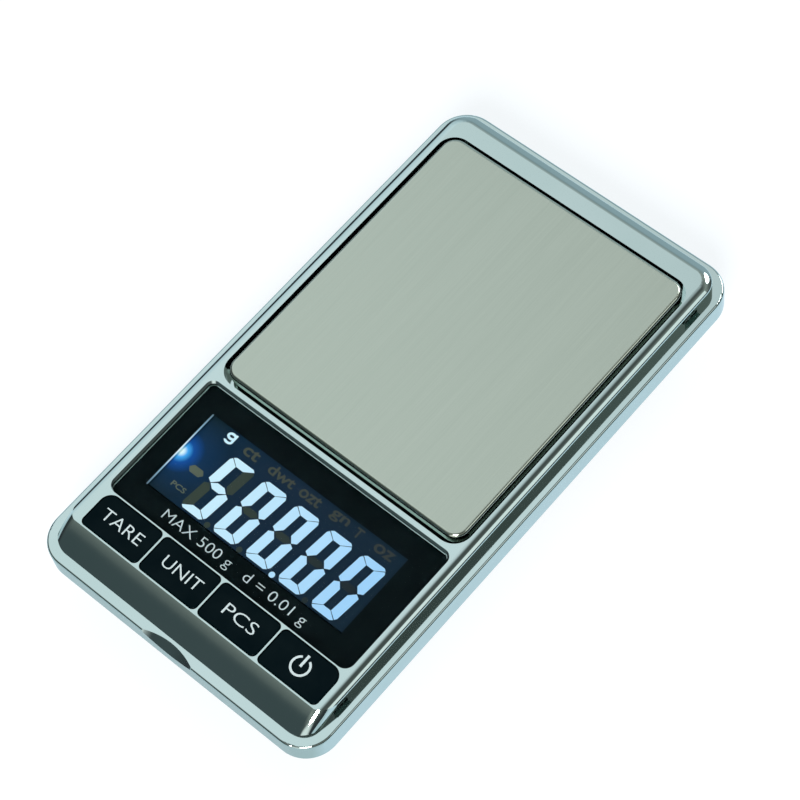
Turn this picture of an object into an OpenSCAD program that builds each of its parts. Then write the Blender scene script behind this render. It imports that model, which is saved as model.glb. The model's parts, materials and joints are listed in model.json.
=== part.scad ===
// Pocket gram scale: chromed cover, backlit display, four keys and a strain-gauge weighing pan.
// X runs across the keys, Y from the keys to the pan, Z up; the feet stand on Z = 0.

/* [Housing] */
// Width of the deck beside the pan's well, at the least
rail_w = 2.15; // [2:0.05:4]
// Depth of the deck behind the pan's well
back_band = 5.45; // [5:0.05:9]
// Width of the deck between the window and the pan's well
bar_w = 1.45; // [1.2:0.05:1.6]
// Corner radius of the rim in plan
rim_r = 6.5; // [5.5:0.5:9]
// Height of the rim's outer wall
rim_h = 4.7; // [4.2:0.1:5.4]
// Radius of the rim's rounded upper edge
rim_edge = 0.5; // [0.3:0.05:0.8]
// Width of the flat flange between the rim's edge and the raised cover
flange_w = 2.2; // [1.8:0.1:2.4]
// Thickness of the flange
flange_t = 1.4; // [1.2:0.1:1.6]
// Wall of the cover and of the lower housing
wall = 1.5; // [1.2:0.1:1.6]
// Rise of the raised cover above the flange
cover_rise = 3.2; // [2.8:0.1:3.6]
// Corner radius of the raised cover in plan
cover_r = 4.3; // [3.5:0.1:6]
// Radius of the raised cover's crowned edge
crown_r = 3.1; // [2.6:0.1:3.3]
// Slope where the crowned edge meets the shoulder
crown_turn = 35; // [25:1:36]
// Radius of the shoulder between the crowned edge and the cover's wall
shoulder_r = 0.5; // [0.3:0.05:0.6]
// Horizontal run of the sloped apron in front of the keys
apron_run = 5.2; // [4.8:0.1:5.8]
// Radius of the apron's curve from the keys down to the flange
apron_r = 18; // [12:1:40]
// Radius of the apron's rounded sides
apron_edge_r = 2.5; // [1:0.1:2.8]
// Inward lean of the lower housing from the rim down to its floor
tub_draft = 3.5; // [3.4:0.1:4]
// Thickness of the lower housing's floor
floor_t = 1.4; // [1.3:0.1:1.6]
// Chamfer round the lower housing's floor
floor_chamfer = 0.8; // [0.4:0.1:1]
// Half width of the finger notch in the front of the rim
notch_half_w = 8; // [6:0.5:10]
// Depth of the finger notch at the flange
notch_depth = 1.6; // [1:0.1:1.8]
// Height over which the finger notch runs out
notch_h = 1.5; // [1.2:0.1:2]
// Length of a lid-catch slot
catch_l = 3.6; // [3:0.2:5]
// Height of a lid-catch slot
catch_h = 1.6; // [1:0.1:1.8]
// Depth of a lid-catch slot
catch_depth = 0.8; // [0.6:0.1:1]
// Distance of the front lid-catch slots from the raised cover's front
catch_front = 9.1; // [9:0.1:14]
// Distance of the rear lid-catch slots from the raised cover's back
catch_back = 9.2; // [8:0.1:14]

/* [Display] */
// Width of the deck beside the window
window_side = 2.8; // [2.4:0.1:3.2]
// Depth of the window in front of the display glass, for the caption
caption_l = 3.45; // [3.4:0.05:6]
// Corner radius of the window at its front
window_r_front = 1.5; // [1:0.1:3]
// Corner radius of the window at its back
window_r_back = 1.2; // [0.6:0.1:2]
// Thickness of the window
window_t = 0.8; // [0.6:0.1:1]
// Bevel round the window's upper edge
window_bevel = 0.25; // [0.1:0.05:0.4]
// Distance of the window's face below the cover's face
window_drop = 0.3; // [0.1:0.05:0.4]
// Bevel of the cover at the window's sides and back
seat_bevel = 0.4; // [0.2:0.05:0.5]
// Thickness of the ledge that carries the window
ledge_t = 0.8; // [0.7:0.1:1]
// Width of the display glass
lcd_w = 48.6; // [44:0.2:56]
// Depth of the display glass, front to back
lcd_l = 20.2; // [18:0.1:24]
// Thickness of the two display glasses together
lcd_t = 1.4; // [1.2:0.1:1.8]
// Width of the lower glass's bare contact edge
lcd_contact_l = 1.8; // [1.4:0.1:2]
// Width of the glass's edge under the cover's ledge
view_edge = 0.3; // [0.2:0.05:0.5]
// Distance of the contact strip's ends inside the glass's ends
zebra_in = 2; // [1:0.1:4]
// Thickness of the backlight guide
guide_t = 0.8; // [0.6:0.1:1]
// Wall of the display frame
frame_wall = 0.7; // [0.6:0.05:0.75]
// Width of the backlight lamp
led_w = 3; // [2:0.1:5]
// Thickness of the backlight lamp
led_t = 1.1; // [0.8:0.1:1.4]

/* [Keys] */
// Depth of a key opening, front to back
key_l = 7.95; // [7.4:0.05:9]
// Width of the chrome web between two keys
web = 0.35; // [0.3:0.05:0.8]
// Depth of the deck between the apron and the keys
key_margin = 0.3; // [0.2:0.05:0.6]
// Distance of the key row's ends inside the window's ends
key_side = 0.1; // [0:0.05:1]
// Offset of the key row to the right of the middle
key_shift = 0.45; // [0:0.05:0.8]
// Corner radius of a key
key_r = 1.1; // [0.8:0.1:1.8]
// Corner radius of the key row's two outer corners at the back
key_r_end = 2.4; // [1.2:0.1:3.6]
// Radius of the edge round a key's face
key_edge = 0.35; // [0.2:0.05:0.5]
// Gap round a key
key_gap = 0.15; // [0.1:0.05:0.2]
// Height of a key's face above the cover's face
key_proud = 0.1; // [0:0.05:0.3]
// Travel of a key
key_travel = 0.5; // [0.3:0.05:0.5]
// Thickness of a key's retaining flange
key_flange_t = 0.9; // [0.7:0.1:1]
// Reach of a key's retaining flange under the cover
key_flange = 0.5; // [0.4:0.05:0.5]
// Thickness of the rubber key mat
mat_t = 0.3; // [0.2:0.05:0.4]
// Radius of a key plunger
plunger_r = 1.4; // [1:0.1:2]
// Radius of a dome of the key mat at its foot
dome_r = 2.6; // [2.2:0.1:3.4]
// Reach of a dome's flat top round the plunger
dome_land = 0.2; // [0.1:0.05:0.4]

/* [Weighing] */
// Width of the weighing pan
pan_w = 56.8; // [55:0.2:57]
// Depth of the weighing pan, front to back
pan_l = 65.5; // [63:0.5:66]
// Corner radius of the pan in plan
pan_r = 3; // [2.4:0.1:4]
// Radius of the pan's rolled edge
pan_edge_r = 0.8; // [0.6:0.1:1]
// Thickness of the pan's sheet
pan_t = 0.5; // [0.4:0.05:0.6]
// Depth of the pan's turned-down skirt
pan_skirt = 2.2; // [1.9:0.1:2.4]
// Gap round the pan
pan_gap = 0.85; // [0.6:0.05:0.9]
// Offset of the pan towards the back of its well
pan_back = 0.3; // [0:0.05:0.4]
// Height of the pan's face above the cover's face
pan_proud = 0.6; // [0.5:0.1:0.8]
// Deflection of the pan at full load
pan_travel = 0.4; // [0.2:0.05:0.45]
// Thickness of the pan carrier's plate
carrier_t = 1.2; // [1:0.1:1.4]
// Depth of the ribs under the carrier's plate
carrier_rib = 0.8; // [0.5:0.1:1]
// Width of the ribs under the carrier's plate
rib_w = 1.2; // [1:0.1:1.6]
// Distance between the crosswise ribs
rib_pitch = 12; // [10:0.5:13]
// Distance of the lengthways ribs from the middle
rib_x = 14.2; // [12:0.2:18]
// Distance of the ribs' ends inside the pan's edge
rib_end = 9; // [6:0.5:10]
// Width of the stem that stands on the beam
stem_w = 12; // [9:0.5:14]
// Thickness of the floor of the pan's well
well_t = 1; // [0.8:0.1:1.1]
// Length of the load cell's beam
beam_l = 48; // [46:0.5:50]
// Width of the load cell's beam
beam_w = 8; // [7:0.5:10]
// Height of the load cell's beam
beam_h = 6; // [5.6:0.1:6.6]
// Diameter of the two holes that make the beam's thin webs
beam_hole_d = 4.6; // [4:0.1:5]
// Distance of those two holes from the beam's clamped ends
beam_hole_in = 4.5; // [4:0.1:5]
// Height of the slot between those two holes
beam_slot_h = 2; // [1:0.1:2.5]
// Distance between the two screws at each end of the beam
beam_screw_pitch = 6.5; // [6:0.25:7]
// Distance of the outer screw from the beam's end
beam_screw_edge = 3.5; // [3:0.25:4]
// Distance of the beam below the floor of the pan's well
beam_drop = 1.7; // [1.4:0.1:2]
// Room left above the overload screw at full load
overload_room = 0.1; // [0.05:0.05:0.3]
// Height of the overload screw's boss
overload_boss_h = 3; // [2:0.1:4]
// Reach of the beam's pedestal beside and behind the beam
pedestal_side = 2; // [1:0.1:3]
// Height of the load cell screws' seat above the housing's underside
cell_seat_h = 2; // [1.8:0.1:2.4]
// Distance of the beam screws' ends inside the beam's far face
screw_end = 1; // [0.5:0.1:1.5]
// Width of a strain gauge
gauge_w = 4; // [3:0.1:6]
// Length of a strain gauge
gauge_l = 5; // [4:0.1:6]
// Thickness of a strain gauge
gauge_t = 0.1; // [0.05:0.01:0.15]
// Distance of the first wire beside the beam
wire_side = 2.5; // [2:0.1:4]
// Gap between two wires
wire_gap = 0.4; // [0.2:0.05:0.8]
// Rise of the wires' bend up to the board
wire_bend = 2; // [1.5:0.1:2.5]
// Distance of the wires' joints inside the board's back edge
wire_edge = 1.45; // [1:0.05:1.6]

/* [Battery bay] */
// Diameter of a cell
cell_d = 10.5; // [10.3:0.1:11]
// Length of a cell
cell_l = 44.5; // [43.5:0.5:45]
// Height of a cell's button
cell_button_h = 0.9; // [0.8:0.1:1.2]
// Diameter of a cell's button
cell_button_d = 3.8; // [3:0.1:4]
// Bevel at the ends of a cell's can
cell_bevel = 0.5; // [0.3:0.1:0.8]
// Gap between the two cells
cell_gap = 0.5; // [0.3:0.1:0.8]
// Room for the contacts at each end of the bay
contact_room = 2.2; // [2:0.1:2.3]
// Thickness of the contacts' sheet
contact_t = 0.3; // [0.25:0.05:0.4]
// Width of a contact
contact_w = 7; // [6:0.5:8]
// Thickness of the bay's end and side walls
bay_wall = 1; // [0.8:0.1:1.1]
// Thickness of the bay's roof
roof_t = 1; // [0.8:0.1:1.2]
// Wall between the front feet and the door's groove
door_wall = 0.4; // [0.3:0.05:0.8]
// Thickness of the lip under the door's tongues
lip_t = 0.6; // [0.5:0.05:0.7]
// Reach of the door's side tongues
tongue = 0.8; // [0.6:0.1:0.9]
// Length of the grip grooves in the door
grip_l = 14; // [8:0.5:18]
// Width of a grip groove
grip_w = 0.8; // [0.5:0.1:1]
// Depth of a grip groove
grip_depth = 0.35; // [0.2:0.05:0.4]
// Distance between two grip grooves
grip_pitch = 2; // [1.5:0.1:3]
// Distance of the first grip groove from the floor's side edge
grip_in = 4; // [3:0.1:6]
// Distance of a contact's leaf inside the cell's edge
leaf_in = 1; // [0.5:0.1:1.5]

/* [Board and fasteners] */
// Thickness of the circuit board
board_t = 1; // [0.8:0.1:1.2]
// Height of the feet below the housing
foot_h = 1; // [0.8:0.1:1.5]
// Diameter of a foot
foot_d = 7.6; // [6:0.2:9]
// Bevel round a foot's lower edge
foot_bevel = 0.4; // [0.2:0.1:0.6]
// Depth of a foot's recess in the housing
foot_recess = 0.5; // [0.3:0.1:0.7]
// Distance of the feet inside the floor's edges
foot_in = 1.65; // [1.5:0.05:3]
// Diameter of the housing screws
screw_d = 2; // [1.8:0.1:2.2]
// Diameter of the housing screws' heads
screw_head_d = 3.8; // [3.6:0.1:4]
// Length of the housing screws under the head
screw_l = 10; // [9:0.5:11]
// Diameter of the load cell screws
cell_screw_d = 3; // [2.5:0.1:3]
// Diameter of the load cell screws' heads
cell_screw_head_d = 5.4; // [5:0.1:5.6]
// Height of a screw head
screw_head_h = 1.3; // [1:0.1:1.5]
// Wall round a screw's bore in a boss
boss_wall = 1.15; // [1:0.05:1.2]
// Distance of the housing screws inside the floor's side edges
screw_in = 3.45; // [3.2:0.05:3.8]
// Distance of the rear housing screws in front of the well's back edge
screw_back = 11.85; // [11:0.05:14]
// Room above the tips of the housing screws
tip_room = 0.5; // [0.4:0.05:0.7]
// Diameter of the board screws
board_screw_d = 1.5; // [1.3:0.1:1.6]
// Diameter of the board screws' heads
board_screw_head_d = 3.2; // [2.8:0.1:3.4]
// Height of the board screws' heads
board_screw_head_h = 1; // [0.8:0.1:1.2]
// Wall round a board screw's bore in its boss
board_boss_wall = 0.75; // [0.6:0.05:0.9]
// Room between a board screw and the pieces beside it
board_screw_room = 0.35; // [0.2:0.05:0.6]
// Distance of the board screws in front of the display glass
board_screw_front = 1.5; // [1.3:0.1:1.7]
// Distance of the board screws inside the board's side edges
board_edge = 1.9; // [1.7:0.1:2.4]
// Room beside the board in the cover
board_side = 0.5; // [0.3:0.05:0.8]
// Width of the converter chip
chip_w = 9; // [7:0.5:9]
// Length of the converter chip
chip_l = 4; // [3:0.1:4.4]
// Height of the converter chip
chip_h = 1.6; // [1:0.1:2]
// Width of the clock crystal
crystal_w = 5; // [4:0.1:5.4]
// Length of the clock crystal
crystal_l = 3; // [2:0.1:4]
// Height of the clock crystal
crystal_h = 2.4; // [2:0.1:3]
// Diameter of a capacitor
cap_d = 3.6; // [3:0.1:4]
// Height of a capacitor
cap_h = 3; // [2.4:0.1:4]
// Gap between the board's components
component_gap = 1.5; // [1:0.1:1.6]
// Diameter of a load cell wire
wire_d = 0.8; // [0.6:0.1:0.9]

/* [Clearances] */
// Room between stacked or fitted pieces that don't move
fit = 0.1; // [0.05:0.01:0.15]
// Room round sliding and loose pieces
slide_fit = 0.15; // [0.1:0.01:0.2]
// Room above and below a cell
cell_fit = 0.2; // [0.1:0.05:0.3]
// Room under the board
board_fit = 0.3; // [0.2:0.05:0.4]

/* [Hidden] */
$fn = 64;
eps = 0.02;
over = 5;

// Heights, from the feet up through the cells, the board and the display
z_floor = foot_h;
z_inside = z_floor + floor_t;
z_cell = z_inside + cell_fit + cell_d / 2;
z_roof = z_cell + cell_d / 2 + cell_fit;
z_board = z_roof + roof_t + board_fit;
z_board_top = z_board + board_t;
z_guide = z_board_top + fit;
z_lcd = z_guide + guide_t + fit;
z_ledge = z_lcd + lcd_t + fit;
z_window = z_ledge + ledge_t;
z_cover = z_window + window_t + window_drop;
z_flange = z_cover - cover_rise;
z_rim = z_flange - rim_h;
z_rim_in = z_flange - flange_t;
z_well = z_board_top + fit;
z_well_top = z_well + well_t;
z_pan = z_cover + pan_proud;
z_carrier = z_pan - pan_t - carrier_t;

// Screws and bosses
boss_r = screw_d / 2 + fit + boss_wall;
post_r = screw_head_d / 2 + fit + boss_wall / 3;
board_boss_r = board_screw_d / 2 + fit + board_boss_wall;

// Display, as deep as the glass, its frame and the bosses behind it need
frame_rim = fit + frame_wall;
frame_w = lcd_w + 2 * frame_rim;
lcd_back = 2 * (boss_r + fit) + frame_rim - bar_w;
window_l = caption_l + lcd_l + lcd_back;

// Battery bay
bay_l = 2 * cell_d + cell_gap + 4 * cell_fit;
bay_w = cell_l + 2 * contact_room;
bay_out_l = bay_l + 2 * bay_wall;
cell_pitch = cell_d + cell_gap;
groove_top = z_inside + slide_fit;

// Widths, from whichever of the pan, the display and the cells needs most
well_w = pan_w + 2 * pan_gap;
well_l = pan_l + 2 * pan_gap;
board_screw_x = board_screw_room + fit + max(frame_w / 2 + board_boss_r,
    bay_w / 2 + bay_wall + board_screw_head_d / 2);
board_half_w = board_screw_x + board_edge;
cover_w = 2 * max(well_w / 2 + rail_w, board_half_w + board_side + wall);
body_w = cover_w + 2 * flange_w;
window_w = cover_w - 2 * window_side;
hollow_w = cover_w - 2 * wall;

// Places along Y, from the front of the rim back
body_l = 2 * flange_w + apron_run + key_margin + key_l + web + window_l + bar_w + well_l + back_band;
cover_l = body_l - 2 * flange_w;
y_front = -body_l / 2;
y_apron = y_front + flange_w;
y_keys = y_apron + apron_run + key_margin;
y_key_back = y_keys + key_l;
y_window = y_key_back + web;
y_window_mid = y_window + window_l / 2;
y_window_back = y_window + window_l;
y_well = y_window_back + bar_w;
y_well_mid = y_well + well_l / 2;
y_well_back = y_well + well_l;
y_pan_mid = y_well_mid + pan_back;
y_lcd_back = y_window_back - lcd_back;
y_lcd = y_lcd_back - lcd_l;
apron_angle = atan2(cover_rise, apron_run);
apron_chord = norm([apron_run, cover_rise]);
apron_turn = asin(apron_chord / 2 / apron_r);
function window_radii(gap) = [
    window_r_front - gap, window_r_front - gap, window_r_back - gap, window_r_back - gap
];

// Lower housing, which fits up inside the rim
tub_w = body_w - 2 * (wall + slide_fit);
tub_l = body_l - 2 * (wall + slide_fit);
tub_r = rim_r + 1;
tub_bottom_w = tub_w - 2 * tub_draft;
tub_bottom_l = tub_l - 2 * tub_draft;
tub_slope = tub_draft / (z_rim - z_floor);
foot_x = tub_bottom_w / 2 - foot_in - foot_d / 2;
foot_y = tub_bottom_l / 2 - foot_in - foot_d / 2;
y_bay = -foot_y + foot_d / 2 + fit + door_wall + tongue + bay_l / 2;

// Keys
key_n = 4;
key_w = (window_w - 2 * key_side - (key_n - 1) * web) / key_n;
key_names = ["tare", "unit", "pieces", "power"];
z_key_flange = z_ledge - fit - key_flange_t;
mat_top = z_board_top + mat_t;
dome_h = key_travel - fit / 2;
z_plunger = mat_top + key_travel;
y_key_mid = y_keys + key_l / 2;
function key_x(i) = key_shift + (i - (key_n - 1) / 2) * (key_w + web);
function key_radii(i, gap) = [
    key_r - gap, key_r - gap,
    (i == 0 ? key_r_end : key_r) - gap, (i == key_n - 1 ? key_r_end : key_r) - gap
];

// Load cell
y_beam = y_pan_mid - beam_l / 2;
z_beam_top = z_well - beam_drop;
z_beam = z_beam_top - beam_h;
stem_l = beam_screw_pitch + 2 * beam_screw_edge;
beam_hole_pitch = beam_l - 2 * (stem_l + beam_hole_in);
pedestal_w = beam_w + 2 * pedestal_side;
free_screws = [for (i = [0, 1]) y_beam + beam_screw_edge + i * beam_screw_pitch];
fixed_screws = [for (i = [0, 1]) y_beam + beam_l - beam_screw_edge - i * beam_screw_pitch];
y_overload = (free_screws[0] + free_screws[1]) / 2;
overload_gap = pan_travel + overload_room;
cell_screw_seat = z_floor + cell_seat_h;
load_cell_screw_l = z_beam_top - screw_end - cell_screw_seat;
pan_screw_seat = z_pan - pan_t - fit - screw_head_h;
pan_screw_l = pan_screw_seat - z_beam - screw_end;
rib_n = 4;
grip_n = 5;
wire_n = 4;
wire_sides = 8;

// Places of the housing and board screws
screw_x = tub_bottom_w / 2 - screw_in;
screw_y_front = y_well - boss_r - fit;
screw_y_rear = y_well_back - screw_back;
z_post_rear = z_rim;
z_tip_front = z_ledge - tip_room;
z_tip_rear = z_well - tip_room;
screw_spots = [for (sx = [-1, 1], rear = [0, 1]) [sx * screw_x, rear]];
board_screw_y = y_lcd - board_screw_front;

// Box on a corner given by its low and high corners
module span_box(low, high) {
    translate(low)
        cube(high - low);
}

// Rounded rectangle on its middle
module plan_rect(w, l, r) {
    square([w, l - 2 * r], center = true);
    square([w - 2 * r, l], center = true);
    for (sx = [-1, 1], sy = [-1, 1])
        translate([sx * (w / 2 - r), sy * (l / 2 - r)])
            circle(r);
}

// Rounded rectangle with a radius for each corner: front left, front right, back left, back right
module corner_plan(w, l, radii) {
    for (k = [0 : 3])
        intersection() {
            plan_rect(w, l, radii[k]);
            translate([(k % 2 - 0.5) * w, (floor(k / 2) - 0.5) * l])
                square([w, l], center = true);
        }
}

// Block on a centred rounded rectangle whose edge follows the child profile:
// the profile's X is the distance from a corner's centre, its Y is the height
module edged_block(w, l, r, low, high) {
    half_w = w / 2 - r;
    half_l = l / 2 - r;
    span_box([-half_w, -half_l, low], [half_w, half_l, high]);
    for (turn = [0, 180])
        rotate([0, 0, turn]) {
            translate([half_w, half_l, 0])
                rotate_extrude(angle = 90)
                    children();
            translate([-half_w, half_l, 0])
                rotate([0, 0, 90])
                    rotate_extrude(angle = 90)
                        children();
            translate([half_w, half_l, 0])
                rotate([90, 0, 0])
                    linear_extrude(2 * half_l)
                        children();
            translate([-half_w, half_l, 0])
                rotate([90, 0, 90])
                    linear_extrude(2 * half_w)
                        children();
        }
}

// Edge profile: a straight wall with a rounded or a bevelled upper edge
module edge_profile(r, low, high, edge, rounded) {
    if (rounded) {
        translate([0, low])
            square([r, high - edge - low]);
        translate([0, low])
            square([r - edge, high - low]);
        translate([r - edge, high - edge])
            intersection() {
                circle(edge);
                square(edge);
            }
    } else {
        polygon([[0, low], [r, low], [r, high - edge], [r - edge, high], [0, high]]);
    }
}

// Block on a centred rounded rectangle with a softened upper edge
module soft_block(w, l, r, low, high, edge, rounded = true) {
    edged_block(w, l, r, low, high)
        edge_profile(r, low, high, edge, rounded);
}

// The same with a radius for each corner, as in corner_plan
module corner_block(w, l, radii, low, high, edge, rounded = true) {
    if (min(radii) == max(radii))
        soft_block(w, l, radii[0], low, high, edge, rounded);
    else
        for (k = [0 : 3])
            intersection() {
                soft_block(w, l, radii[k], low, high, edge, rounded);
                translate([(k % 2 - 0.5) * w, (floor(k / 2) - 0.5) * l, (low + high) / 2])
                    cube([w, l, 2 * (high - low)], center = true);
            }
}

// Plain block on a centred rounded rectangle
module round_block(w, l, r, low, high) {
    translate([0, 0, low])
        linear_extrude(high - low)
            plan_rect(w, l, r);
}

// Edge profile of the raised cover: a wide crowned edge that turns down into the wall
module crown_profile(r, low, high) {
    reach = crown_r - shoulder_r;
    start = r - shoulder_r - reach * sin(crown_turn);
    z_wall = high - crown_r + reach * cos(crown_turn);
    translate([0, low])
        square([r, z_wall - low]);
    translate([0, low])
        square([start, high - low]);
    translate([start, high - crown_r])
        intersection() {
            circle(crown_r);
            translate([0, z_wall - high + crown_r])
                square([crown_r * sin(crown_turn), high - z_wall]);
        }
    translate([r - shoulder_r, z_wall])
        circle(shoulder_r);
}

// Lower housing profile, set in by a wall
module tub_profile(inset, low) {
    low_r = tub_r - inset - tub_slope * (z_rim - low);
    cut = inset > 0 ? 0 : floor_chamfer;
    polygon([
        [0, low], [low_r - cut, low], [low_r + cut * tub_slope, low + cut],
        [tub_r - inset, z_rim], [tub_r - inset, z_rim_in + (inset > 0 ? over : 0)],
        [0, z_rim_in + (inset > 0 ? over : 0)]
    ]);
}

module tub_outside() {
    edged_block(tub_w, tub_l, tub_r, z_floor, z_rim_in)
        tub_profile(0, z_floor);
}

module tub_inside() {
    edged_block(tub_w, tub_l, tub_r, z_inside, z_rim_in + over)
        tub_profile(wall, z_inside);
}

// Screw with its head down, standing on its seat
module screw_up(d, length, head_d, head_h) {
    cylinder(d = d, h = length);
    translate([0, 0, -head_h])
        cylinder(d = head_d, h = head_h);
}

// Bore for such a screw, with a counterbore for its head
module screw_bore(d, length, head_d, head_depth) {
    cylinder(d = d + 2 * fit, h = length);
    translate([0, 0, -head_depth])
        cylinder(d = head_d + 2 * fit, h = head_depth);
}

function screw_y(rear) = rear ? screw_y_rear : screw_y_front;
function screw_seat(rear) = (rear ? z_tip_rear : z_tip_front) - screw_l;

// Slope of the apron, moved down by a depth: all that lies above it
module apron_wedge(depth) {
    shift = depth / cos(apron_angle);
    rotate([90, 0, 90])
        linear_extrude(body_w, center = true)
            polygon([
                [y_apron - over * apron_run, z_flange - over * cover_rise - shift],
                [y_apron + (1 + over) * apron_run, z_cover + over * cover_rise - shift],
                [y_apron - over * apron_run, z_cover + over * cover_rise]
            ]);
}

// Section through all that lies under the apron, rounded over at the two sides
module apron_section(depth) {
    half = cover_w / 2 + eps;
    translate([-half, -depth])
        square([2 * half, depth - apron_edge_r]);
    translate([-half + apron_edge_r, -depth])
        square([2 * (half - apron_edge_r), depth]);
    for (sx = [-1, 1])
        translate([sx * (half - apron_edge_r), -apron_edge_r])
            circle(apron_edge_r);
}

// That section turned down along the apron's curve and run straight on over the keys
module apron_slab() {
    top_slope = apron_angle - apron_turn;
    translate([0, y_apron + apron_run, z_cover]) {
        rotate([90 + top_slope, 0, 0])
            translate([0, 0, -2 * body_l])
                linear_extrude(2 * body_l)
                    apron_section(body_l);
        rotate([top_slope, 0, 0])
            translate([0, 0, -apron_r])
                rotate([0, 90, 0])
                    rotate_extrude()
                        translate([apron_r, 0])
                            rotate(-90)
                                apron_section(apron_r);
    }
}

// Finger notch, deepest at the flange and running out down the rim's wall
module finger_notch() {
    notch_r = (notch_half_w * notch_half_w + notch_depth * notch_depth) / (2 * notch_depth);
    lean = atan2(notch_depth, notch_h);
    translate([0, y_front, z_flange])
        rotate([-lean, 0, 0])
            translate([0, notch_depth * cos(lean) - notch_r, -2 * rim_h])
                cylinder(r = notch_r, h = 3 * rim_h, $fn = 128);
}

module catch_slots() {
    for (sx = [-1, 1], y = [catch_front - cover_l / 2, cover_l / 2 - catch_back])
        translate([sx * cover_w / 2, y, z_flange + catch_h / 2 - catch_depth / 2])
            cube([2 * catch_depth, catch_l, catch_h + catch_depth], center = true);
}

// Chromed cover: rim, flange, raised deck, key webs, window ledge and pan well
module top_cover() {
    color("lightsteelblue")
        difference() {
            union() {
                difference() {
                    union() {
                        soft_block(body_w, body_l, rim_r, z_rim, z_flange, rim_edge);
                        intersection() {
                            edged_block(cover_w, cover_l, cover_r, z_rim_in, z_cover)
                                crown_profile(cover_r, z_rim_in, z_cover);
                            apron_slab();
                        }
                    }
                    round_block(body_w - 2 * wall, body_l - 2 * wall, rim_r - wall, z_rim - over, z_rim_in);
                    // Hollow under the keys and the window, which follows the apron
                    difference() {
                        span_box([-hollow_w / 2, y_front, z_rim_in - eps],
                            [hollow_w / 2, y_well - wall + fit, z_ledge]);
                        apron_wedge(wall);
                    }
                    // Hollow under the pan's well and behind it
                    span_box([-hollow_w / 2, y_well - wall, z_rim_in - eps],
                        [hollow_w / 2, y_well_back + wall, z_well]);
                    span_box([-hollow_w / 2, y_well_back + wall, z_rim_in - eps],
                        [hollow_w / 2, cover_l / 2 - wall, z_cover - 2 * wall]);
                    // Pan's well
                    translate([0, y_well_mid, 0])
                        round_block(well_w, well_l, pan_r + pan_gap, z_well_top, 2 * z_cover);
                    // Hole for the pan carrier's stem
                    span_box([-stem_w / 2 - pan_gap, y_beam - pan_gap, z_well - over],
                        [stem_w / 2 + pan_gap, y_beam + stem_l + pan_gap, z_cover]);
                    // Window seat and the display's aperture
                    translate([0, y_window_mid, z_window])
                        linear_extrude(z_cover)
                            corner_plan(window_w + 2 * fit, window_l + 2 * fit, window_radii(-fit));
                    translate([0, y_window_mid + seat_bevel / 2, z_cover])
                        mirror([0, 0, 1])
                            corner_block(window_w + 2 * (fit + seat_bevel), window_l + 2 * fit + seat_bevel,
                                window_radii(-fit - seat_bevel), -over, seat_bevel, seat_bevel, false);
                    span_box([-lcd_w / 2 + view_edge, y_lcd + lcd_contact_l, z_ledge - over],
                        [lcd_w / 2 - view_edge, y_lcd_back - view_edge, z_cover]);
                    for (i = [0 : key_n - 1])
                        translate([key_x(i), y_key_mid, z_ledge - over])
                            linear_extrude(z_cover)
                                corner_plan(key_w, key_l, key_radii(i, 0));
                    finger_notch();
                    catch_slots();
                }
                for (sx = [-1, 1]) {
                    translate([sx * screw_x, screw_y_front, z_board_top])
                        cylinder(r = boss_r, h = z_ledge - z_board_top + eps);
                    translate([sx * screw_x, screw_y_rear, z_post_rear])
                        cylinder(r = boss_r, h = z_well - z_post_rear + eps);
                    translate([sx * board_screw_x, board_screw_y, z_board_top])
                        cylinder(r = board_boss_r, h = z_ledge - z_board_top + eps);
                }
            }
            for (spot = screw_spots)
                translate([spot[0], screw_y(spot[1]), screw_seat(spot[1])])
                    cylinder(d = screw_d + 2 * fit, h = screw_l + fit);
            for (sx = [-1, 1])
                translate([sx * board_screw_x, board_screw_y, z_board])
                    cylinder(d = board_screw_d + 2 * fit, h = z_ledge - z_board - fit);
        }
}

// Clear window with a bevelled edge
module display_window() {
    color("black")
        translate([0, y_window_mid, 0])
            corner_block(window_w, window_l, window_radii(0), z_window, z_window + window_t,
                window_bevel, false);
}

// Two display glasses, the lower one longer for its contacts
module lcd_panel() {
    color("midnightblue") {
        span_box([-lcd_w / 2, y_lcd, z_lcd], [lcd_w / 2, y_lcd_back, z_lcd + lcd_t / 2]);
        span_box([-lcd_w / 2, y_lcd + lcd_contact_l, z_lcd + lcd_t / 2 - eps],
            [lcd_w / 2, y_lcd_back, z_lcd + lcd_t]);
    }
}

// Frame that holds the display and its light over the board
module lcd_frame() {
    color("whitesmoke")
        difference() {
            span_box([-frame_w / 2, y_lcd - frame_rim, z_board_top],
                [frame_w / 2, y_lcd_back + frame_rim, z_lcd + lcd_t]);
            span_box([-lcd_w / 2 - fit, y_lcd - fit, z_board_top - over],
                [lcd_w / 2 + fit, y_lcd_back + fit, z_cover]);
        }
}

// Light guide, wedge-thin at its far end
module backlight_guide() {
    color("azure")
        translate([0, y_lcd_back - fit, z_guide])
            rotate([90, 0, 0])
                linear_extrude(lcd_l - lcd_contact_l - 3 * fit)
                    polygon([
                        [-lcd_w / 2 + led_t + 2 * fit, 0], [lcd_w / 2 - fit, guide_t / 3],
                        [lcd_w / 2 - fit, guide_t], [-lcd_w / 2 + led_t + 2 * fit, guide_t]
                    ]);
}

// Side-lighting lamp at the guide's thick end
module backlight_led() {
    y_led = (y_lcd + lcd_contact_l + y_lcd_back) / 2;
    color("gold")
        span_box([-lcd_w / 2 + fit, y_led - led_w / 2, z_board_top],
            [-lcd_w / 2 + fit + led_t, y_led + led_w / 2, z_board_top + guide_t]);
}

// Rubber strip that joins the board's pads to the display's contacts
module zebra_strip() {
    color("dimgray")
        span_box([-lcd_w / 2 + zebra_in, y_lcd + fit, z_board_top],
            [lcd_w / 2 - zebra_in, y_lcd + lcd_contact_l, z_lcd]);
}

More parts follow.
